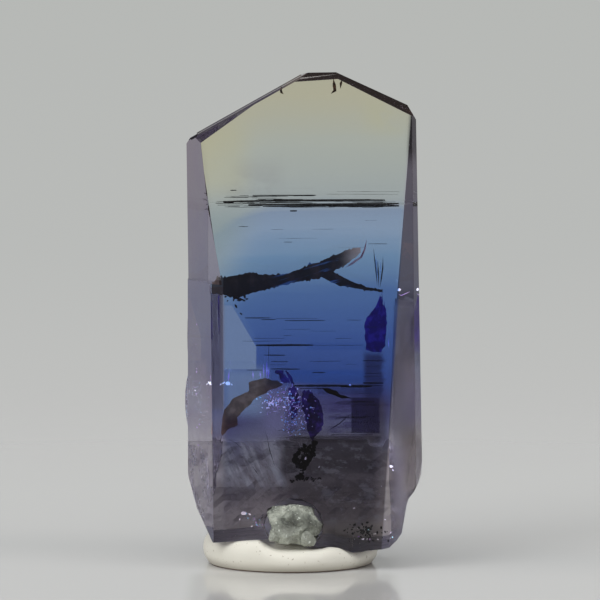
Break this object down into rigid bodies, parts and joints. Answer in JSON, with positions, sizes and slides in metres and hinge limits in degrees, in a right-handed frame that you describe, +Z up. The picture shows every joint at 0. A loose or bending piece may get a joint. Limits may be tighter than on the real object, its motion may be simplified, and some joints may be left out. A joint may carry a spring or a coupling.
{
  "type": "rough tanzanite crystal",
  "caption": "Upright rough tanzanite prism with a roof-shaped end, clear above and violet-blue below, with a matrix grain at its foot, standing on a putty disc.",
  "frame": {"origin": "centre of the whole object's box on the surface that the putty disc stands on", "axes": "+Z up along the prism, +X to the right of the broad front face, -Y out of that face"},
  "size_m": [0.0148, 0.011, 0.0308],
  "materials": {
    "crystal": "polished",
    "matrix_grain": "matte",
    "putty_disc": "matte"
  },
  "bodies": {
    "root": {"crystal": "crystal", "matrix_grain": "matrix_grain", "putty_disc": "putty_disc"}
  },
  "joints": []
}
